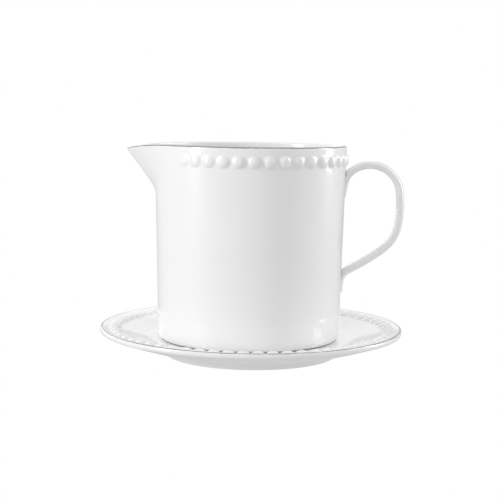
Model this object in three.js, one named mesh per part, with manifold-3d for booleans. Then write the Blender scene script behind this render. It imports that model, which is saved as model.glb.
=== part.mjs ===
// Gravy jug on its saucer: a straight-sided cast jug with a pulled spout, a band of beads under the
// rim and a strap handle, standing in the well of a round saucer with a beaded rim.
// Millimetres, +Z up, +X towards the handle. The origin is the centre of the saucer's foot ring,
// at table height.
import * as THREE from "three";
import { mergeVertices } from "three/addons/utils/BufferGeometryUtils.js";
import Module from "manifold-3d";

const wasm = await Module();
wasm.setup();

// ---- Driving dimensions: saucer -------------------------------------------------------------
const SAUCER_RADIUS = 80;
const SAUCER_HEIGHT = 15.3;
const LIP_THICKNESS = 3;
const LIP_ROUNDING = 0.8; // saucer's edge to where the lip starts to round over
const WELL_HEIGHT = 9; // table to the flat that the jug stands on
const WELL_THICKNESS = 4;
const WELL_CLEARANCE = 6; // from the jug's wall to the edge of the flat
const FOOT_RADIUS = 45.4;
const FOOT_WIDTH = 3;
const FOOT_FLARE = 1.5; // how far the foot's outside widens up to its crease
const FOOT_CREASE = 2.6; // table to the crease where the foot meets the underside
const FOOT_EDGE = 0.5; // bevel along the edges of the foot
const UNDERSIDE_SAG = 0.8;
const TOP_BENDS = [0.11, 0.55, 0.7]; // shares of the top's span and rise that shape its curve
const SAUCER_BEAD_LENGTH = 5;
const SAUCER_BEAD_WIDTH = 4.9;
const SAUCER_BEAD_PROUD = 1.2;
const SAUCER_BEAD_PITCH = 7.15;
const SAUCER_BEAD_INSET = 7.3; // saucer's edge to the middle of the beads

// ---- Driving dimensions: jug body, measured from its own base ---------------------------------
const JUG_HEIGHT = 102.1;
const JUG_RIM_RADIUS = 50.4;
const JUG_BASE_RADIUS = 48.1;
const JUG_WALL = 2.5;
const JUG_FLOOR = 3.2;
const JUG_FOOT_RADIUS = 46.4;
const JUG_FOOT_WIDTH = 3.5;
const JUG_RECESS = 1.2; // hollow inside the foot
const BASE_ROUNDING = 4.2;
const BASE_SLACK = 0.05; // share of the base's rounding by which its corner is drawn in
const INNER_ROUNDING = 8;
const BEAD_DROP = 7.5; // rim to the middle of the beads
const BEAD_SINK = 0.2; // how deep the middle of a bead sits in the wall that it grows from
const BEAD_WIDTH = 5.9;
const BEAD_PROUD = 1.65;
const BEAD_PITCH = 7.7;

// ---- Driving dimensions: spout ------------------------------------------------------------------
const SPOUT_PULL = 15.4; // how far the tip stands out past the rim's circle
const SPOUT_NOSE = 8; // radius of the tip seen from above
const SPOUT_DEPTH = 28; // rim to where the flare starts
const SPOUT_DIP = 2.5; // how far the tip drops below the rim
const SPOUT_KNEE = 0.14; // share of the flare's height over which it bends away from the wall
const SPOUT_FLANK = 0.75; // share of the flare's height at which it starts on the spout's flanks

// ---- Driving dimensions: handle -----------------------------------------------------------------
const HANDLE_REACH = 30.9; // rim's circle to the outside of the strap
const STRAP_WIDTH = 9.6;
const STRAP_THICKNESS = 4.3;
const CROWN_DROP = 7.9; // rim to the top of the strap
const LOOP_HEIGHT = 54.5; // middle of the strap at its crown down to its lower joint
const UPPER_TAIL = 9; // runs down the wall from the upper joint to a point
const UPPER_TAIL_PROUD = 0.7; // how far its end stands off the wall
const LOWER_TAIL = 9.8; // runs down from the lower joint to a blunt end
const LOWER_TAIL_PROUD = 1.5;
const UPPER_END_THICKNESS = 1.4;
const UPPER_END_WIDTH = 4;
const LOWER_END_THICKNESS = 3;
const UPPER_JOINT = 0.85; // share of the loop's height where the strap leaves its upper tail
const LOWER_JOINT = -0.07; // and where it reaches the lower one
const UPPER_TAPER = 12.6; // run over which the strap swells from its upper end
const LOWER_TAPER = 13.7; // run from the lower end at which the strap is full

// ---- Clearances and mesh fineness ---------------------------------------------------------------
const SEAT_GAP = 0.3; // between pieces that touch
const JUG_OFFSET = -1.3; // the jug stands loose in the well, this far from its middle
const JUG_SEGMENTS = 64;
const SPOUT_ROWS = 6;
const TOP_ROWS = 5;
const HANDLE_STEPS = 44;
const BEAD_SIDES = 8;
const BEAD_ROWS = 4;
const BAND_MARGIN = 0.4; // plain strip on each side of the saucer's beads
const LOWER_ROWS = [0.35, 0.75]; // rows of the plain wall, as shares of its height
const TIP_CROWDING = 0.4; // how much the spout's columns gather towards its tip

// ---- Worked-out sizes ---------------------------------------------------------------------------
const wellRadius = JUG_BASE_RADIUS + WELL_CLEARANCE;
const saucerBeadRadius = SAUCER_RADIUS - SAUCER_BEAD_INSET;
const rimPlan = { circle: JUG_RIM_RADIUS, nose: JUG_RIM_RADIUS + SPOUT_PULL - SPOUT_NOSE };
// Angle from the spout's middle to where the rim's circle hands over to the straight flank.
const spoutHalfAngle = Math.acos((JUG_RIM_RADIUS - SPOUT_NOSE) / rimPlan.nose);

// ---- Materials ----------------------------------------------------------------------------------
function glazedChina(name) {
  return new THREE.MeshStandardMaterial({ name, color: 0xf5f5f3, roughness: 0.12, metalness: 0 });
}

// ---- Solids -------------------------------------------------------------------------------------
function toSolid(geometry) {
  const bare = geometry.clone();
  bare.deleteAttribute("normal");
  bare.deleteAttribute("uv");
  const merged = mergeVertices(bare, 1e-3);
  return new wasm.Manifold(
    new wasm.Mesh({
      numProp: 3,
      vertProperties: merged.attributes.position.array,
      triVerts: new Uint32Array(merged.index.array),
    }),
  );
}

function toMesh(name, solid) {
  const { vertProperties, triVerts } = solid.getMesh();
  const geometry = new THREE.BufferGeometry();
  geometry.setAttribute("position", new THREE.BufferAttribute(vertProperties, 3));
  geometry.setIndex(new THREE.BufferAttribute(triVerts, 1));
  geometry.computeVertexNormals();
  const mesh = new THREE.Mesh(geometry, glazedChina(name));
  mesh.name = name;
  return mesh;
}

// A profile of (radius, height) points turned about Z. It runs anticlockwise, outside going up.
function turned(path, fineness, segments) {
  const geometry = new THREE.LatheGeometry(path.getPoints(fineness), segments);
  geometry.rotateX(Math.PI / 2);
  return geometry;
}

// A domed bead: a ball squashed to its width, length and height, with its dome facing up.
function bead(width, length, proud) {
  const geometry = new THREE.SphereGeometry(1, BEAD_SIDES, BEAD_ROWS);
  geometry.rotateX(Math.PI / 2);
  geometry.scale(length / 2, width / 2, proud);
  return geometry;
}

// ---- Saucer -------------------------------------------------------------------------------------
const lipRadius = SAUCER_RADIUS - LIP_ROUNDING;

// The top of the saucer from the well's edge out to the lip, as one soft curve.
function saucerTop() {
  const span = lipRadius - wellRadius;
  const rise = SAUCER_HEIGHT - WELL_HEIGHT;
  const [leave, arrive, arriveHeight] = TOP_BENDS;
  return new THREE.CubicBezierCurve(
    new THREE.Vector2(wellRadius, WELL_HEIGHT),
    new THREE.Vector2(wellRadius + leave * span, WELL_HEIGHT),
    new THREE.Vector2(wellRadius + arrive * span, WELL_HEIGHT + arriveHeight * rise),
    new THREE.Vector2(lipRadius, SAUCER_HEIGHT),
  );
}

// Where the saucer's top is at a radius, and how steep it is there.
function saucerTopAt(radius) {
  const points = saucerTop().getPoints(60);
  const i = points.findIndex((p) => p.x > radius);
  const [a, b] = [points[i - 1], points[i]];
  const slope = (b.y - a.y) / (b.x - a.x);
  return { z: a.y + slope * (radius - a.x), tilt: Math.atan(slope) };
}

function saucerProfile() {
  const lipUnder = SAUCER_HEIGHT - LIP_THICKNESS;
  const crease = FOOT_RADIUS + FOOT_FLARE;
  const footInner = FOOT_RADIUS - FOOT_WIDTH;
  const underWell = WELL_HEIGHT - WELL_THICKNESS;
  const path = new THREE.Path();
  path.moveTo(0, underWell);
  path.lineTo(footInner - FOOT_FLARE, underWell);
  path.lineTo(footInner, FOOT_EDGE);
  path.lineTo(footInner + FOOT_EDGE, 0);
  path.lineTo(FOOT_RADIUS - FOOT_EDGE, 0);
  path.lineTo(FOOT_RADIUS, FOOT_EDGE);
  path.lineTo(crease, FOOT_CREASE);
  path.quadraticCurveTo(
    (crease + lipRadius) / 2,
    (FOOT_CREASE + lipUnder) / 2 - UNDERSIDE_SAG,
    lipRadius,
    lipUnder,
  );
  path.quadraticCurveTo(SAUCER_RADIUS, lipUnder, SAUCER_RADIUS, SAUCER_HEIGHT - LIP_THICKNESS / 2);
  path.quadraticCurveTo(SAUCER_RADIUS, SAUCER_HEIGHT, lipRadius, SAUCER_HEIGHT);
  // One row on each side of the beads, and the rest between them and the well.
  const band = 0.5 * SAUCER_BEAD_LENGTH + BAND_MARGIN;
  const bandInner = saucerBeadRadius - band;
  path.lineTo(saucerBeadRadius + band, saucerTopAt(saucerBeadRadius + band).z);
  for (let i = 0; i < TOP_ROWS; i++) {
    const radius = THREE.MathUtils.lerp(bandInner, wellRadius, i / TOP_ROWS);
    path.lineTo(radius, saucerTopAt(radius).z);
  }
  path.lineTo(wellRadius, WELL_HEIGHT);
  path.lineTo(0, WELL_HEIGHT);
  return path;
}

function makeSaucer() {
  const count = Math.round((2 * Math.PI * saucerBeadRadius) / SAUCER_BEAD_PITCH);
  let solid = toSolid(turned(saucerProfile(), 3, count));
  const seat = saucerTopAt(saucerBeadRadius);
  for (let i = 0; i < count; i++) {
    const geometry = bead(SAUCER_BEAD_WIDTH, SAUCER_BEAD_LENGTH, SAUCER_BEAD_PROUD);
    geometry.rotateY(-seat.tilt);
    geometry.translate(saucerBeadRadius, 0, seat.z - BEAD_SINK);
    geometry.rotateZ((2 * Math.PI * (i + 0.5)) / count);
    solid = solid.add(toSolid(geometry));
  }
  return toMesh("saucer", solid);
}

// ---- Jug body -----------------------------------------------------------------------------------
function wallRadius(z) {
  return THREE.MathUtils.mapLinear(z, BASE_ROUNDING, JUG_HEIGHT, JUG_BASE_RADIUS, JUG_RIM_RADIUS);
}

function jugProfile() {
  const footInner = JUG_FOOT_RADIUS - JUG_FOOT_WIDTH;
  const floor = JUG_RECESS + JUG_FLOOR;
  const lip = JUG_WALL / 2;
  const shoulder = JUG_HEIGHT - lip;
  const spoutStart = JUG_HEIGHT - SPOUT_DEPTH;
  const rows = LOWER_ROWS.map((share) => share * spoutStart);
  for (let i = 0; i <= SPOUT_ROWS; i++) {
    rows.push(THREE.MathUtils.lerp(spoutStart, shoulder, i / SPOUT_ROWS));
  }
  const path = new THREE.Path();
  path.moveTo(0, JUG_RECESS);
  path.lineTo(footInner - JUG_RECESS, JUG_RECESS);
  path.lineTo(footInner, 0);
  path.lineTo(JUG_FOOT_RADIUS, 0);
  const slack = BASE_SLACK * BASE_ROUNDING;
  path.quadraticCurveTo(JUG_BASE_RADIUS - slack, slack / 2, JUG_BASE_RADIUS, BASE_ROUNDING);
  rows.forEach((z) => path.lineTo(wallRadius(z), z));
  path.absarc(wallRadius(shoulder) - lip, shoulder, lip, 0, Math.PI, false);
  rows.reverse().forEach((z) => path.lineTo(wallRadius(z) - JUG_WALL, z));
  const inner = wallRadius(floor + INNER_ROUNDING) - JUG_WALL;
  path.lineTo(inner, floor + INNER_ROUNDING);
  path.quadraticCurveTo(inner, floor, inner - INNER_ROUNDING, floor);
  path.lineTo(0, floor);
  return path;
}

// How far the rim stands out past its circle at an angle from the spout's middle: the plan is the
// rim's circle and a small nose circle, joined by the straight lines that touch both.
function pullAt(angle) {
  const { circle, nose } = rimPlan;
  const noseEnd = Math.atan2(
    SPOUT_NOSE * Math.sin(spoutHalfAngle),
    nose + SPOUT_NOSE * Math.cos(spoutHalfAngle),
  );
  if (angle >= spoutHalfAngle) return 0;
  if (angle > noseEnd) return circle / Math.cos(spoutHalfAngle - angle) - circle;
  const side = nose * Math.sin(angle);
  return nose * Math.cos(angle) + Math.sqrt(SPOUT_NOSE ** 2 - side ** 2) - circle;
}

// Share of the pull at a share of the flare's height: a soft bend off the wall, then a straight flare.
function flareAt(share) {
  const bend = (s) => s - SPOUT_KNEE + Math.hypot(s - SPOUT_KNEE, SPOUT_KNEE / 2);
  return (bend(share) - bend(0)) / (bend(1) - bend(0));
}

// Pulls the part of a turned wall that faces -X out into the spout, and crowds its columns together
// towards the tip.
function pullSpout(geometry) {
  const position = geometry.getAttribute("position");
  const spoutStart = JUG_HEIGHT - SPOUT_DEPTH;
  for (let i = 0; i < position.count; i++) {
    const [x, y, z] = [position.getX(i), position.getY(i), position.getZ(i)];
    const turn = Math.atan2(y, -x);
    const spread = Math.abs(turn) / spoutHalfAngle;
    if (spread >= 1 || z <= spoutStart) continue;
    const height = (z - spoutStart) / SPOUT_DEPTH;
    const angle = spoutHalfAngle * spread ** (1 + TIP_CROWDING * Math.min(1, 3 * height));
    // The flare starts higher up towards its flanks.
    const start = SPOUT_FLANK * (angle / spoutHalfAngle) ** 2;
    const share = Math.max(0, (height - start) / (1 - start));
    const pull = pullAt(angle) * flareAt(share);
    const radius = Math.hypot(x, y) + pull;
    position.setX(i, -radius * Math.cos(angle));
    position.setY(i, radius * Math.sin(angle) * Math.sign(turn));
    position.setZ(i, z - SPOUT_DIP * (pull / SPOUT_PULL) ** 1.5);
  }
  return geometry;
}

function makeJugBody() {
  let solid = toSolid(pullSpout(turned(jugProfile(), 3, JUG_SEGMENTS)));
  const beadHeight = JUG_HEIGHT - BEAD_DROP;
  const radius = wallRadius(beadHeight);
  const step = BEAD_PITCH / radius;
  const clear = spoutHalfAngle + (0.5 * BEAD_WIDTH) / radius;
  const last = Math.floor((Math.PI - clear) / step);
  for (let i = -last; i <= last; i++) {
    const geometry = bead(BEAD_WIDTH, BEAD_WIDTH, BEAD_PROUD);
    geometry.rotateY(Math.PI / 2);
    geometry.translate(radius - BEAD_SINK, 0, beadHeight);
    geometry.rotateZ(i * step);
    solid = solid.add(toSolid(geometry));
  }
  return toMesh("jug_body", solid);
}

// ---- Handle -------------------------------------------------------------------------------------
// The strap's middle line from the upper joint to the lower joint. Each point is a share of the
// way out from the wall and a share of the loop's height.
const LOOP = [
  [0.09, 0.925],
  [0.24, 0.975],
  [0.47, 1],
  [0.725, 0.965],
  [0.89, 0.87],
  [0.99, 0.71],
  [0.995, 0.56],
  [0.91, 0.385],
  [0.73, 0.235],
  [0.475, 0.135],
  [0.205, 0.045],
];

function handleLine() {
  const crown = JUG_HEIGHT - CROWN_DROP - STRAP_THICKNESS / 2;
  const lower = crown - LOOP_HEIGHT;
  const outside = JUG_RIM_RADIUS + HANDLE_REACH - STRAP_THICKNESS / 2;
  // A tail's middle line, with its outside standing off the wall and the rest of it sunk in.
  const onWall = (z, proud, thickness) =>
    new THREE.Vector3(wallRadius(z) + proud - thickness / 2, 0, z);
  const upperJoint = lower + UPPER_JOINT * LOOP_HEIGHT;
  const lowerJoint = lower + LOWER_JOINT * LOOP_HEIGHT;
  const points = [
    onWall(upperJoint - UPPER_TAIL, UPPER_TAIL_PROUD, UPPER_END_THICKNESS),
    onWall(upperJoint, 2 * UPPER_TAIL_PROUD, UPPER_END_THICKNESS),
  ];
  for (const [out, up] of LOOP) {
    const z = lower + up * LOOP_HEIGHT;
    points.push(new THREE.Vector3(THREE.MathUtils.lerp(wallRadius(z), outside, out), 0, z));
  }
  points.push(onWall(lowerJoint, LOWER_TAIL_PROUD, LOWER_END_THICKNESS));
  points.push(onWall(lowerJoint - LOWER_TAIL, LOWER_TAIL_PROUD, LOWER_END_THICKNESS));
  return new THREE.CatmullRomCurve3(points, false, "centripetal");
}

// The strap's size at a distance from each of its ends: full in the loop, thinner along the tails,
// and narrow at the end of the upper one.
function strapSize(fromUpper, fromLower) {
  const { lerp, smoothstep } = THREE.MathUtils;
  const upper = smoothstep(fromUpper, 0, UPPER_TAPER);
  const lower = smoothstep(fromLower, LOWER_TAPER - LOWER_TAIL, LOWER_TAPER);
  return {
    width: lerp(UPPER_END_WIDTH, STRAP_WIDTH, upper),
    thickness: Math.min(
      lerp(UPPER_END_THICKNESS, STRAP_THICKNESS, upper),
      lerp(LOWER_END_THICKNESS, STRAP_THICKNESS, lower),
    ),
  };
}

function makeHandle() {
  const section = new THREE.Shape().absellipse(0, 0, 0.5, 0.5, 0, 2 * Math.PI);
  const geometry = new THREE.ExtrudeGeometry(section, {
    depth: 1,
    steps: HANDLE_STEPS,
    curveSegments: 6,
    bevelEnabled: false,
  });
  // The extrusion is straight along Z; each of its points moves to its place along the loop.
  const line = handleLine();
  const length = line.getLength();
  const position = geometry.getAttribute("position");
  for (let i = 0; i < position.count; i++) {
    const share = THREE.MathUtils.clamp(position.getZ(i), 0, 1);
    const centre = line.getPointAt(share);
    const along = line.getTangentAt(share);
    const size = strapSize(share * length, (1 - share) * length);
    const across = position.getX(i) * size.width;
    const outward = position.getY(i) * size.thickness;
    position.setXYZ(i, centre.x - along.z * outward, across, centre.z + along.x * outward);
  }
  const wall = new THREE.Path();
  wall.moveTo(0, 0);
  wall.lineTo(wallRadius(0) + SEAT_GAP, 0);
  wall.lineTo(wallRadius(JUG_HEIGHT) + SEAT_GAP, JUG_HEIGHT);
  wall.lineTo(0, JUG_HEIGHT);
  const cutter = toSolid(turned(wall, 1, 4 * JUG_SEGMENTS));
  return toMesh("jug_handle", toSolid(geometry).subtract(cutter));
}

// ---- Assembly -----------------------------------------------------------------------------------
const jug = new THREE.Group();
jug.add(makeJugBody(), makeHandle());
jug.position.set(JUG_OFFSET, 0, WELL_HEIGHT + SEAT_GAP);

const gravyBoat = new THREE.Group();
gravyBoat.add(makeSaucer(), jug);

export default gravyBoat;
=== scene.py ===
# A gravy jug standing on its saucer, both of glazed bone china: a saucer with a beaded rim, a jug
# with a pulled spout and a row of beads, and a strap handle. Metres, +Z up, +X towards the handle.
import math

import bpy
from mathutils import Matrix, Vector, kdtree


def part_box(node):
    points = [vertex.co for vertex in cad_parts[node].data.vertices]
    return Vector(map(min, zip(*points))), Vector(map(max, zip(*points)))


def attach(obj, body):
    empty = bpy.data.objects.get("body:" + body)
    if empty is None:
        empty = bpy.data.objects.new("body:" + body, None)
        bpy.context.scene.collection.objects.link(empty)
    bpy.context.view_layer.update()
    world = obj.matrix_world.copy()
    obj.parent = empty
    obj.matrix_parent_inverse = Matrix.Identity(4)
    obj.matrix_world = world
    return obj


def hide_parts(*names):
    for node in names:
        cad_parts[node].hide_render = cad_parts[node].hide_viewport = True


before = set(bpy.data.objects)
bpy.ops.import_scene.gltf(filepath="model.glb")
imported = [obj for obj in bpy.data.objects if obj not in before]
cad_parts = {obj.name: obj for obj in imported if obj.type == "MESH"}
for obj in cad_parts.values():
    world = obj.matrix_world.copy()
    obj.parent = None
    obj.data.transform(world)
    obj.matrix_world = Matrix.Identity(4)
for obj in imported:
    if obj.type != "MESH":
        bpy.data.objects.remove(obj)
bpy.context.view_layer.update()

# ---- Saucer ---------------------------------------------------------------------------------------
# The saucer is bone china, jolleyed over a plaster mould that leaves a flat well for the jug and a
# row of beads inside the rim. It is glazed all over except the tread of its foot ring, and a thin
# grey line is painted round the top of its lip.
MM = 0.001  # the sizes below are in millimetres
saucer_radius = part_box("saucer")[1].x / MM
saucer_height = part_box("saucer")[1].z / MM
lip_thickness = 3.0
lip_radius = saucer_radius - 0.8  # where the lip starts to round over
lip_under = saucer_height - lip_thickness
well_radius = 54.1
well_height = 9.0
well_thickness = 4.0
under_well = well_height - well_thickness
foot_radius = 45.4
foot_width = 3.0
foot_inner = foot_radius - foot_width
foot_edge = 0.7  # width of the rounding on each side of the tread
foot_lift = 0.6  # and its height
foot_crease = 2.6  # height of the crease where the foot meets the underside
crease = foot_radius + 1.5  # and its radius
underside_sag = 0.8
top_leaves = 0.11  # share of the run to the lip that the top leaves the well level for
top_arrives = 0.55  # shares of the run and of the rise that it comes from as it meets the lip
top_arrives_height = 0.7
saucer_beads = 64
saucer_bead_radius = 72.7
saucer_bead_width = 6.2
saucer_bead_proud = 1.25
row_spacing = 1.1  # between the rows of faces across the top
bead_row_spacing = 0.6  # closer where the beads are raised
slices_per_bead = 10


def bend(start, corner, end, steps):
    """The points of a soft corner from start to end, without its start."""
    points = []
    for i in range(1, steps + 1):
        t = i / steps
        point = Vector(start) * (1 - t) ** 2 + Vector(corner) * 2 * t * (1 - t) + Vector(end) * t * t
        points.append(point)
    return points


def straight(start, end, steps):
    """Evenly spaced points on a straight line, without its start."""
    return [Vector(start).lerp(Vector(end), i / steps) for i in range(1, steps + 1)]


def turn_outline(name, outline, slices):
    """Draws an outline of (radius, height) points from the axis and back to it, and turns it round."""
    places = [Vector((r, 0, z)) * MM for r, z in outline]
    bpy.ops.object.select_all(action="DESELECT")
    bpy.ops.mesh.primitive_plane_add(size=MM)
    piece = bpy.context.object
    piece.name = piece.data.name = name
    bpy.ops.object.mode_set(mode="EDIT")
    bpy.ops.mesh.select_all(action="SELECT")
    bpy.ops.mesh.merge(type="CENTER")
    bpy.ops.transform.translate(value=places[0])
    for here, there in zip(places, places[1:]):
        bpy.ops.mesh.extrude_vertices_move(TRANSFORM_OT_translate={"value": there - here})
    bpy.ops.object.mode_set(mode="OBJECT")
    screw = piece.modifiers.new("turned", "SCREW")
    screw.steps = screw.render_steps = slices
    bpy.ops.object.modifier_apply(modifier=screw.name)
    return piece


def mark_distance(piece, outline, zero):
    """Writes each vertex's distance in mm along the outline from point number zero, outwards up."""
    lengths = [0.0]
    for here, there in zip(outline, outline[1:]):
        lengths.append(lengths[-1] + (Vector(there) - Vector(here)).length)
    marks = piece.data.attributes.new("past_crown", "FLOAT", "POINT")
    for vertex in piece.data.vertices:
        marks.data[vertex.index].value = lengths[zero] - lengths[vertex.index % len(outline)]


def close_up(piece):
    """Welds the seam and the poles, and turns the faces outwards."""
    bpy.ops.object.mode_set(mode="EDIT")
    bpy.ops.mesh.select_all(action="SELECT")
    bpy.ops.mesh.remove_doubles(threshold=0.001 * MM)
    bpy.ops.mesh.normals_make_consistent(inside=False)
    bpy.ops.object.mode_set(mode="OBJECT")
    bpy.ops.object.shade_smooth()


def pick_vertices(piece, places):
    """Selects the vertex nearest to each place and nothing else."""
    tree = kdtree.KDTree(len(piece.data.vertices))
    for vertex in piece.data.vertices:
        tree.insert(vertex.co, vertex.index)
    tree.balance()
    bpy.ops.object.mode_set(mode="EDIT")
    bpy.ops.mesh.select_mode(type="VERT")
    bpy.ops.mesh.select_all(action="DESELECT")
    bpy.ops.object.mode_set(mode="OBJECT")
    for place in places:
        piece.data.vertices[tree.find(place)[1]].select = True


def raise_beads(piece, places, width, proud):
    """Lifts the surface into a round bead at each place."""
    pick_vertices(piece, places)
    bpy.ops.object.mode_set(mode="EDIT")
    bpy.ops.transform.shrink_fatten(
        value=proud * MM,
        use_proportional_edit=True,
        proportional_edit_falloff="SPHERE",
        proportional_size=width / 2 * MM,
        use_proportional_connected=True,
    )
    bpy.ops.object.mode_set(mode="OBJECT")


def saucer_top(radius):
    """Height of the saucer's top between the well and the lip: one long soft S."""
    low, high = 0.0, 1.0
    for _ in range(30):
        t = (low + high) / 2
        run = 3 * t * (1 - t) ** 2 * top_leaves + 3 * t * t * (1 - t) * top_arrives + t**3
        across = well_radius + (lip_radius - well_radius) * run
        low, high = (t, high) if across < radius else (low, t)
    rise = 3 * t * t * (1 - t) * top_arrives_height + t**3
    return well_height + (saucer_height - well_height) * rise


# The outline runs along the underside, down and up the foot, round the lip and back over the top.
foot_root = (foot_inner - 2.4, under_well)
foot_wall = (foot_inner - 0.5, under_well - 1.6)
foot_inside = (foot_inner, foot_lift)
tread_inside = (foot_inner + foot_edge, 0)
tread_outside = (foot_radius - foot_edge, 0)
foot_outside = (foot_radius + 0.2, foot_lift)
crease_foot = (crease - 0.3, foot_crease - 0.4)
crease_far = (crease + 0.6, foot_crease + 0.1)
belly = ((crease + lip_radius) / 2, (foot_crease + lip_under) / 2 - underside_sag)
lip_root = (lip_radius - 0.6, lip_under - 0.1)
lip_edge = (saucer_radius, saucer_height - lip_thickness / 2)
lip_top = (lip_radius - 0.4, saucer_height - 0.1)

saucer_outline = [Vector((0, under_well))]
saucer_outline += straight((0, under_well), foot_root, 6)
saucer_outline += bend(foot_root, (foot_inner - 0.9, under_well), foot_wall, 4)
saucer_outline += straight(foot_wall, foot_inside, 2)
saucer_outline += bend(foot_inside, (foot_inner + 0.1, 0), tread_inside, 4)
saucer_outline += straight(tread_inside, tread_outside, 2)
saucer_outline += bend(tread_outside, (foot_radius, 0), foot_outside, 4)
saucer_outline += straight(foot_outside, crease_foot, 2)
saucer_outline += bend(crease_foot, (crease, foot_crease), crease_far, 3)
saucer_outline += bend(crease_far, belly, lip_root, 12)
saucer_outline += bend(lip_root, (saucer_radius, lip_under + 0.1), lip_edge, 6)
lip_mark = len(saucer_outline)
saucer_outline += bend(lip_edge, (saucer_radius, saucer_height), lip_top, 7)
radius = lip_top[0]
while radius > well_radius + 0.5:
    in_beads = abs(radius - saucer_bead_radius) < saucer_bead_width / 2 + 0.7
    radius -= bead_row_spacing if in_beads else row_spacing
    saucer_outline.append(Vector((radius, saucer_top(radius))))
well_middle = 40.0  # the flat has wider faces inside this radius
saucer_outline += straight((radius, well_height), (well_middle, well_height), 8)
saucer_outline += straight((well_middle, well_height), (0, well_height), 6)

saucer = turn_outline("saucer_china", saucer_outline, saucer_beads * slices_per_bead)
mark_distance(saucer, saucer_outline, lip_mark)
close_up(saucer)
bead_places = []
for i in range(saucer_beads):
    angle = 2 * math.pi * (i + 0.5) / saucer_beads
    out = Vector((math.cos(angle), math.sin(angle), 0)) * saucer_bead_radius
    bead_places.append((out + Vector((0, 0, saucer_top(saucer_bead_radius)))) * MM)
raise_beads(saucer, bead_places, saucer_bead_width, saucer_bead_proud)


def linear(hex_colour):
    """An sRGB hex value as the linear colour that the shaders take."""
    channels = [int(hex_colour[i : i + 2], 16) / 255 for i in (1, 3, 5)]
    return [c / 12.92 if c <= 0.04045 else ((c + 0.055) / 1.055) ** 2.4 for c in channels] + [1.0]


def add_node(tree, kind, settings=None, links=None):
    """Adds a node, sets its properties and sockets, and links its inputs to other nodes' outputs.

    Map Range turns the range from socket 1 to 2 into 3 to 4, and a colour Mix goes from 6 to 7."""
    node = tree.nodes.new(kind)
    for name, value in (settings or {}).items():
        if isinstance(name, str) and hasattr(node, name):
            setattr(node, name, value)
        else:
            node.inputs[name].default_value = value
    for name, output in (links or {}).items():
        tree.links.new(output, node.inputs[name])
    return node


def painted_line(tree, place, body, painted):
    """A line of grey enamel along the lip, drawn by hand, so that its edges wander a tenth of a mm."""
    past_crown = add_node(tree, "ShaderNodeAttribute", {"attribute_name": "past_crown"}).outputs["Fac"]
    unsteady = {"Scale": 1 / (6 * MM), "Detail": 3.0}
    brush = add_node(tree, "ShaderNodeTexNoise", unsteady, {"Vector": place}).outputs["Fac"]
    wander = {1: 0.3, 2: 0.7, 3: -0.12, 4: 0.12}
    wandering = add_node(tree, "ShaderNodeMapRange", wander, {0: brush}).outputs[0]
    from_middle = {"operation": "SUBTRACT", 1: painted["middle"]}
    off_middle = add_node(tree, "ShaderNodeMath", from_middle, {0: past_crown}).outputs[0]
    distance = add_node(tree, "ShaderNodeMath", {"operation": "ABSOLUTE"}, {0: off_middle}).outputs[0]
    edge = add_node(tree, "ShaderNodeMath", {"operation": "ADD"}, {0: distance, 1: wandering}).outputs[0]
    half, soft = painted["width"] / 2, 0.12
    falloff = {"interpolation_type": "SMOOTHSTEP", 1: half - soft, 2: half + soft, 3: 1.0, 4: 0.0}
    line = add_node(tree, "ShaderNodeMapRange", falloff, {0: edge}).outputs[0]
    enamel = {"data_type": "RGBA", 7: linear(painted["colour"])}
    return add_node(tree, "ShaderNodeMix", enamel, {0: line, 6: body}).outputs[2]


def glazed_bone_china(name, painted=None):
    """Bone china under a clear fired glaze: a white body, clouded so faintly that it only keeps it
    from looking like plastic, and a hard, mirror-smooth coat that lies in very shallow waves."""
    material = bpy.data.materials.new(name)
    material.use_nodes = True
    tree = material.node_tree
    tree.nodes.clear()
    place = add_node(tree, "ShaderNodeTexCoord").outputs["Object"]
    clouding = {"Scale": 1 / (35 * MM), "Detail": 2.0}
    cloud = add_node(tree, "ShaderNodeTexNoise", clouding, {"Vector": place}).outputs["Fac"]
    whites = {"data_type": "RGBA", 6: linear("#F4F4F5"), 7: linear("#F7F7F7")}
    body = add_node(tree, "ShaderNodeMix", whites, {0: cloud}).outputs[2]
    if painted:
        body = painted_line(tree, place, body, painted)
    waving = {"Scale": 1 / (9 * MM), "Detail": 1.0}
    waves = add_node(tree, "ShaderNodeTexNoise", waving, {"Vector": place}).outputs["Fac"]
    shallow = {"Strength": 0.12, "Distance": 0.05 * MM}
    peel = add_node(tree, "ShaderNodeBump", shallow, {"Height": waves}).outputs[0]
    patching = {"Scale": 1 / (14 * MM), "Detail": 2.0}
    patches = add_node(tree, "ShaderNodeTexNoise", patching, {"Vector": place}).outputs["Fac"]
    satin = {1: 0.3, 2: 0.7, 3: 0.30, 4: 0.40}
    rough = add_node(tree, "ShaderNodeMapRange", satin, {0: patches}).outputs[0]
    china = add_node(
        tree,
        "ShaderNodeBsdfPrincipled",
        {"IOR": 1.55, "Coat Weight": 1.0, "Coat Roughness": 0.06, "Coat IOR": 1.5},
        {"Base Color": body, "Roughness": rough, "Normal": peel},
    )
    tree.links.new(china.outputs[0], add_node(tree, "ShaderNodeOutputMaterial").inputs[0])
    return material


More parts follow.
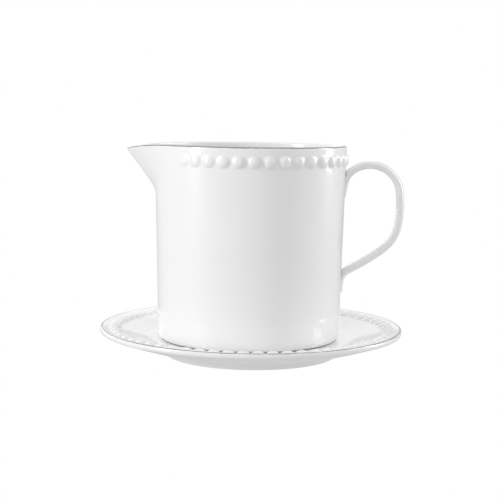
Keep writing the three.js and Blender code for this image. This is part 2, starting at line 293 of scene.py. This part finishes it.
def bisque(name):
    """Bare fired china where the glaze was wiped off: chalky and a little warmer, with a fine grit."""
    material = bpy.data.materials.new(name)
    material.use_nodes = True
    tree = material.node_tree
    tree.nodes.clear()
    place = add_node(tree, "ShaderNodeTexCoord").outputs["Object"]
    grains = {"Scale": 1 / (0.8 * MM), "Detail": 4.0}
    grit = add_node(tree, "ShaderNodeTexNoise", grains, {"Vector": place}).outputs["Fac"]
    creams = {"data_type": "RGBA", 6: linear("#DDD8CE"), 7: linear("#EFEBE3")}
    tone = add_node(tree, "ShaderNodeMix", creams, {0: grit}).outputs[2]
    chalky = {"Strength": 0.5, "Distance": 0.08 * MM}
    relief = add_node(tree, "ShaderNodeBump", chalky, {"Height": grit}).outputs[0]
    surface = {"Base Color": tone, "Normal": relief}
    bare = add_node(tree, "ShaderNodeBsdfPrincipled", {"Roughness": 0.85}, surface)
    tree.links.new(bare.outputs[0], add_node(tree, "ShaderNodeOutputMaterial").inputs[0])
    return material


def leave_tread_bare(piece, tread_height, name):
    """Gives the faces that lie flat on the foot's tread the unglazed finish."""
    piece.data.materials.append(bisque(name))
    for face in piece.data.polygons:
        low = all(abs(piece.data.vertices[v].co.z - tread_height) < 0.05 * MM for v in face.vertices)
        if low and face.normal.z < -0.9:
            face.material_index = 1


saucer.data.materials.append(
    glazed_bone_china("glazed_bone_china_saucer", {"middle": -1.4, "width": 1.1, "colour": "#85898D"})
)
leave_tread_bare(saucer, 0.0, "bisque_saucer_tread")
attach(saucer, "saucer")
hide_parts("saucer")

# ---- Jug body -------------------------------------------------------------------------------------
# The jug is slip-cast bone china, and its mould forms the spout and the beads with the wall. The glaze
# covers all but the foot it stands on, and a thin grey line is painted on the outside of the rim.
# Sizes are measured from its own base and axis.
jug_low, jug_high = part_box("jug_body")
jug_axis = -1.3  # the jug stands this far off the saucer's middle
jug_base = jug_low.z / MM
jug_height = (jug_high - jug_low).z / MM
rim_radius = 50.4
base_radius = 48.1
base_rounding = 4.2
jug_wall = 2.5
jug_floor = 3.2
jug_foot = 46.4
jug_foot_width = 3.5
jug_foot_inner = jug_foot - jug_foot_width
jug_recess = 1.2
beads_right_round = 41
beads_each_side = 15
jug_bead_width = 6.0
jug_bead_proud = 1.5
jug_bead_drop = 7.5  # rim to the middle of the beads
fading_beads = [0.35, 0.5, 0.7, 0.85]  # how full the beads beside the spout are
inner_rounding = 8.0
wall_row_spacing = 7.04  # between the rows of faces up the wall
flare_row_spacing = 1.65  # closer through the spout's flare
spout_pull = 15.4  # how far the tip stands out past the rim's circle
spout_nose = 8.0  # radius of the tip seen from above
spout_depth = 28.0  # rim to where the flare starts
spout_dip = 2.5  # how far the tip drops below the rim
spout_droop = 1.5  # above 1, the drop comes late, close to the tip
spout_knee = 0.14  # share of the flare's height over which it bends off the wall
spout_flank = 0.75  # share of the flare's height at which the flanks start to flare
tip_crowding = 0.4  # how strongly the columns of faces crowd towards the tip


def wall_radius(z):
    """Outside radius of the jug's wall at a height above its base."""
    share = (z - base_rounding) / (jug_height - base_rounding)
    return base_radius + share * (rim_radius - base_radius)


lip = jug_wall / 2
shoulder = jug_height - lip
jug_bead_height = jug_height - jug_bead_drop
spout_start = jug_height - spout_depth
# Heights of the rows of faces: up the plain wall, through the spout's flare and across the beads.
heights = [base_rounding + wall_row_spacing * i for i in range(11)]
heights += [spout_start + flare_row_spacing * i for i in range(1, 11)]
heights += [jug_bead_height + bead_row_spacing * i for i in range(-6, 7)]
recess_edge = (jug_foot_inner - 1.8, jug_recess)
tread_in = (jug_foot_inner + 0.2, 0)
tread_out = (jug_foot, 0)

jug_outline = [Vector((0, jug_recess))]
jug_outline += straight((0, jug_recess), recess_edge, 4)
jug_outline += bend(recess_edge, (jug_foot_inner - 0.5, jug_recess), tread_in, 4)
jug_outline += straight(tread_in, tread_out, 2)
jug_outline += bend(tread_out, (base_radius - 0.2, 0.1), (base_radius, base_rounding), 8)
for z in heights[1:]:
    jug_outline.append(Vector((wall_radius(z), z)))
jug_outline += straight(jug_outline[-1], (wall_radius(shoulder), shoulder), 3)
lip_middle = Vector((wall_radius(shoulder) - lip, shoulder))
lip_steps = 16
crown_mark = len(jug_outline) + lip_steps // 2 - 1
for i in range(1, lip_steps + 1):
    angle = math.pi * i / lip_steps
    jug_outline.append(lip_middle + lip * Vector((math.cos(angle), math.sin(angle))))
inner_floor = jug_recess + jug_floor
inner_corner = inner_floor + inner_rounding
for z in reversed([z for z in heights if z > inner_corner + 1]):
    jug_outline.append(Vector((wall_radius(z) - jug_wall, z)))
inner = wall_radius(inner_corner) - jug_wall
floor_edge = (inner - inner_rounding, inner_floor)
jug_outline.append(Vector((inner, inner_corner)))
jug_outline += bend((inner, inner_corner), (inner, inner_floor), floor_edge, 8)
jug_outline += straight(floor_edge, (0, inner_floor), 6)

spout_centre = rim_radius + spout_pull - spout_nose
spout_half = math.acos((rim_radius - spout_nose) / spout_centre)


def spout_reach(angle):
    """How far the rim stands out past its circle: a small nose circle and two flanks that touch it."""
    nose_side = spout_nose * math.sin(spout_half)
    nose_end = math.atan2(nose_side, spout_centre + spout_nose * math.cos(spout_half))
    if angle >= spout_half:
        return 0.0
    if angle > nose_end:
        return rim_radius / math.cos(spout_half - angle) - rim_radius
    side = spout_centre * math.sin(angle)
    return spout_centre * math.cos(angle) + math.sqrt(spout_nose**2 - side**2) - rim_radius


def spout_flare(share):
    """Share of the reach at a share of the flare's height: a soft bend off the wall, then straight."""
    soft = [s - spout_knee + math.hypot(s - spout_knee, spout_knee / 2) for s in (share, 0, 1)]
    return (soft[0] - soft[1]) / (soft[2] - soft[1])


def pull_spout(piece):
    """Draws the wall out into the spout, which crowds its columns together towards the tip."""
    for vertex in piece.data.vertices:
        x, y, z = vertex.co / MM
        turn = math.atan2(y, -x)
        spread = abs(turn) / spout_half
        if spread >= 1 or z <= spout_start:
            continue
        height = (z - spout_start) / spout_depth
        angle = spout_half * spread ** (1 + tip_crowding * min(1, 3 * height))
        start = spout_flank * (angle / spout_half) ** 2
        share = max(0.0, (height - start) / (1 - start))
        pull = spout_reach(angle) * spout_flare(share)
        reach = math.hypot(x, y) + pull
        drop = spout_dip * (pull / spout_pull) ** spout_droop
        side = math.copysign(math.sin(angle), turn)
        vertex.co = Vector((-reach * math.cos(angle), reach * side, z - drop)) * MM


jug = turn_outline("jug_body_china", jug_outline, beads_right_round * slices_per_bead)
mark_distance(jug, jug_outline, crown_mark)
close_up(jug)
bead_ring = wall_radius(jug_bead_height)
bead_places = []
for i in range(-beads_each_side, beads_each_side + 1):
    angle = 2 * math.pi * i / beads_right_round
    out = Vector((math.cos(angle), math.sin(angle), 0)) * bead_ring
    bead_places.append((out + Vector((0, 0, jug_bead_height))) * MM)
faded = len(fading_beads)
raise_beads(jug, bead_places[faded:-faded], jug_bead_width, jug_bead_proud)
for i, share in enumerate(fading_beads):
    raise_beads(jug, [bead_places[i], bead_places[-1 - i]], jug_bead_width, jug_bead_proud * share)
pull_spout(jug)
jug.data.transform(Matrix.Translation(Vector((jug_axis, 0, jug_base)) * MM))
jug.data.materials.append(
    glazed_bone_china("glazed_bone_china_jug", {"middle": 0.8, "width": 1.2, "colour": "#8A8E92"})
)
leave_tread_bare(jug, jug_base * MM, "bisque_jug_tread")
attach(jug, "jug")
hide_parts("jug_body")

# ---- Handle ---------------------------------------------------------------------------------------
# The handle is a flat strap of the same china, cast on its own and stuck to the leather-hard jug with
# slip. A pointed tail runs down the wall under its top joint, and a blunt one under its lower joint.
strap_width = 9.6
strap_thickness = 4.3
ring_points = 24
tail_foot = Vector((49.88, 74.85))  # middle of the strap where the upper tail ends, from the jug's axis
tail_heading = math.radians(88.66)  # up along the wall
# Each stretch of the strap's middle line: its radius in mm and its turn in degrees, clockwise.
strap_bends = [(7.2, 46.7), (15.9, 126.5), (67.2, 14.2), (20.7, 44.4), (128.8, 9.6), (7.3, -61.4)]
upper_tail = 8.0
lower_tail = 5.6
tail_steps = 5
ring_spacing = 1.2
upper_taper = 12.6  # run over which the strap swells from its pointed end
upper_end_width = 0.30  # shares of the full width and thickness at that end
upper_end_thickness = 0.32
lower_taper = 11.0
lower_end = 0.8  # share of the full section at the blunt end
outside_share = 0.38  # share of the thickness on the low outside face
edge_softness = 0.55  # 1 is a plain oval, 0 a lens with sharp edges
lift_off_wall = 0.12  # share of the thickness by which the section stands off its middle line


def run_straight(heading, length):
    """Extrudes the selected ring straight ahead, and returns how far it went."""
    ahead = Vector((math.cos(heading), math.sin(heading))) * length
    step = Vector((ahead.x, 0, ahead.y)) / tail_steps * MM
    for _ in range(tail_steps):
        bpy.ops.mesh.extrude_region_move(TRANSFORM_OT_translate={"value": step})
    return ahead


def sweep_strap(name):
    """An oval section carried up the tail, round each bend of the loop and down to its lower end."""
    bpy.ops.object.select_all(action="DESELECT")
    start = Vector((tail_foot.x, 0, tail_foot.y)) * MM
    bpy.ops.mesh.primitive_circle_add(vertices=ring_points, radius=0.5 * MM, location=start)
    strap = bpy.context.object
    strap.name = strap.data.name = name
    bpy.ops.object.transform_apply(location=True, rotation=False, scale=False)
    bpy.ops.object.mode_set(mode="EDIT")
    bpy.ops.mesh.select_all(action="SELECT")
    bpy.ops.transform.resize(value=(strap_thickness, strap_width, 1), center_override=start)
    heading = tail_heading
    middle = tail_foot + run_straight(heading, upper_tail)
    for radius, degrees in strap_bends:
        turn = math.radians(degrees)
        side = math.copysign(radius, turn)
        centre = middle + side * Vector((math.sin(heading), -math.cos(heading)))
        bpy.ops.mesh.spin(
            steps=max(4, round(abs(turn) * radius / ring_spacing)),
            angle=-turn,
            center=(centre.x * MM, 0, centre.y * MM),
            axis=(0, 1, 0),
        )
        heading -= turn
        middle = centre - side * Vector((math.sin(heading), -math.cos(heading)))
    run_straight(heading, lower_tail)
    bpy.ops.object.mode_set(mode="OBJECT")
    return strap


def swell(share):
    """A soft start and end between 0 and 1."""
    share = min(1, share)
    return share * share * (3 - 2 * share)


def shape_strap(strap):
    """Makes the oval low outside and deeper inside, with a soft ridge between, and tapers its ends."""
    points = [vertex.co / MM for vertex in strap.data.vertices]
    rings = [points[i : i + ring_points] for i in range(0, len(points), ring_points)]
    middles = [sum(ring, Vector()) / ring_points for ring in rings]
    run = [0.0]
    for here, there in zip(middles, middles[1:]):
        run.append(run[-1] + (there - here).length)
    for k, (ring, middle) in enumerate(zip(rings, middles)):
        before, after = middles[max(k - 1, 0)], middles[min(k + 1, len(middles) - 1)]
        outward = Vector((0, 1, 0)).cross(before - after).normalized()
        upper = swell(run[k] / upper_taper)
        lower = lower_end + (1 - lower_end) * swell((run[-1] - run[k]) / lower_taper)
        width = strap_width * lower * (upper_end_width + (1 - upper_end_width) * upper)
        thick = strap_thickness * lower * (upper_end_thickness + (1 - upper_end_thickness) * upper)
        for j, point in enumerate(ring):
            across = (point - middle).y / (strap_width / 2)
            side = math.copysign(1, (point - middle).dot(outward))
            round_part = math.sqrt(max(0, 1 - across**2))
            depth = edge_softness * round_part + (1 - edge_softness) * round_part**2
            share = outside_share if side > 0 else 1 - outside_share
            rise = outward * thick * (lift_off_wall + side * depth * share)
            place = middle + rise + Vector((0, across * width / 2, 0))
            strap.data.vertices[k * ring_points + j].co = place * MM


def cap_ends(strap):
    """Closes both ends of the sweep."""
    count = len(strap.data.vertices)
    for first in (0, count - ring_points):
        bpy.ops.object.mode_set(mode="EDIT")
        bpy.ops.mesh.select_mode(type="VERT")
        bpy.ops.mesh.select_all(action="DESELECT")
        bpy.ops.object.mode_set(mode="OBJECT")
        for i in range(first, first + ring_points):
            strap.data.vertices[i].select = True
        bpy.ops.object.mode_set(mode="EDIT")
        bpy.ops.mesh.edge_face_add()
        bpy.ops.object.mode_set(mode="OBJECT")


handle = sweep_strap("handle_china")
shape_strap(handle)
cap_ends(handle)
smooth = handle.modifiers.new("smooth", "SUBSURF")
smooth.levels = smooth.render_levels = 1
bpy.ops.object.modifier_apply(modifier=smooth.name)
close_up(handle)
handle.data.transform(Matrix.Translation(Vector((jug_axis, 0, jug_base)) * MM))
handle.data.materials.append(glazed_bone_china("glazed_bone_china_handle"))
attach(handle, "jug")
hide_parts("jug_handle")

# ---- Table, light and camera ----------------------------------------------------------------------
# A white table that glows softly from below, as a lit acrylic sheet does, in a white studio. The eye
# sees both as pure white, and both light the china a little less strongly than that.
table_glow = 0.62
studio_glow = 0.69
bpy.ops.mesh.primitive_plane_add(size=6)
table = bpy.context.object
table.name = "table"
sheet = bpy.data.materials.new("lit_acrylic_sheet")
sheet.use_nodes = True
sheet.node_tree.nodes.clear()
sheet_tree = sheet.node_tree
seen = add_node(sheet_tree, "ShaderNodeLightPath").outputs["Is Camera Ray"]
glow = add_node(sheet_tree, "ShaderNodeMapRange", {3: table_glow, 4: 1.0}, {0: seen}).outputs[0]
white = {"Color": (1, 1, 1, 1)}
lit = add_node(sheet_tree, "ShaderNodeEmission", white, {"Strength": glow}).outputs[0]
sheet_tree.links.new(lit, add_node(sheet_tree, "ShaderNodeOutputMaterial").inputs[0])
# An even glow all round is found by bounced light alone, which leaves less grain on the glaze.
sheet.cycles.emission_sampling = "NONE"
table.data.materials.append(sheet)

studio = bpy.data.worlds.new("studio")
bpy.context.scene.world = studio
studio.use_nodes = True
studio.node_tree.nodes.clear()
studio_tree = studio.node_tree
seen = add_node(studio_tree, "ShaderNodeLightPath").outputs["Is Camera Ray"]
glow = add_node(studio_tree, "ShaderNodeMapRange", {3: studio_glow, 4: 1.0}, {0: seen}).outputs[0]
backdrop = add_node(studio_tree, "ShaderNodeBackground", white, {"Strength": glow}).outputs[0]
studio_tree.links.new(backdrop, add_node(studio_tree, "ShaderNodeOutputWorld").inputs[0])
studio.cycles.sampling_method = "NONE"
bpy.context.scene.view_settings.view_transform = "Standard"


def softbox(name, azimuth, elevation, width, height, power):
    """A soft rectangular light aimed at the jug's middle. Azimuth 0 is in front, 90 on the right."""
    lamp = bpy.data.lights.new(name, "AREA")
    lamp.shape = "RECTANGLE"
    lamp.size = width
    lamp.size_y = height
    lamp.energy = power
    holder = bpy.data.objects.new(name, lamp)
    bpy.context.scene.collection.objects.link(holder)
    a, e = math.radians(azimuth), math.radians(elevation)
    back = Vector((math.sin(a) * math.cos(e), -math.cos(a) * math.cos(e), math.sin(e)))
    holder.location = Vector((0, 0, 0.06)) + back * light_distance
    holder.rotation_mode = "QUATERNION"
    holder.rotation_quaternion = back.to_track_quat("Z", "Y")


# Two narrow strips shape the wall: between their pools of light it falls into one soft grey band.
# Each is given as degrees round and up, width and height in metres, and watts.
light_distance = 1.3  # from the middle of the jug
softbox("left_strip", -67, 17, 0.3, 1.2, 8.4)
softbox("right_strip", 106, 17, 0.3, 1.2, 7.0)
softbox("back_left_panel", -145, 12, 0.8, 0.8, 1.7)
softbox("front_fill", 0, 12, 0.8, 0.8, 0.4)
softbox("back_panel", -174, 25, 0.8, 0.8, 0.7)

# The camera looks a little down on the jug from 66 cm, and leans to the left by less than a degree.
eye = Vector((0.2, -657.5, 129.9)) * MM
aim = Vector((0.2, 0, 60)) * MM
pan, tilt, lean = 0.0019, -0.0069, -0.014  # radians
ahead = (aim - eye).normalized()
ahead.rotate(Matrix.Rotation(pan, 3, "Z"))
across = ahead.cross(Vector((0, 0, 1))).normalized()
ahead.rotate(Matrix.Rotation(tilt, 3, across))
up = across.cross(ahead)
across.rotate(Matrix.Rotation(lean, 3, ahead))
up.rotate(Matrix.Rotation(lean, 3, ahead))
lens = bpy.data.cameras.new("camera")
lens.lens = 89.755  # millimetres, for a frame 36 mm wide
lens.sensor_width = 36
camera = bpy.data.objects.new("camera", lens)
bpy.context.scene.collection.objects.link(camera)
camera.matrix_world = Matrix((
    (across.x, up.x, -ahead.x, eye.x),
    (across.y, up.y, -ahead.y, eye.y),
    (across.z, up.z, -ahead.z, eye.z),
    (0, 0, 0, 1),
))
bpy.context.scene.camera = camera
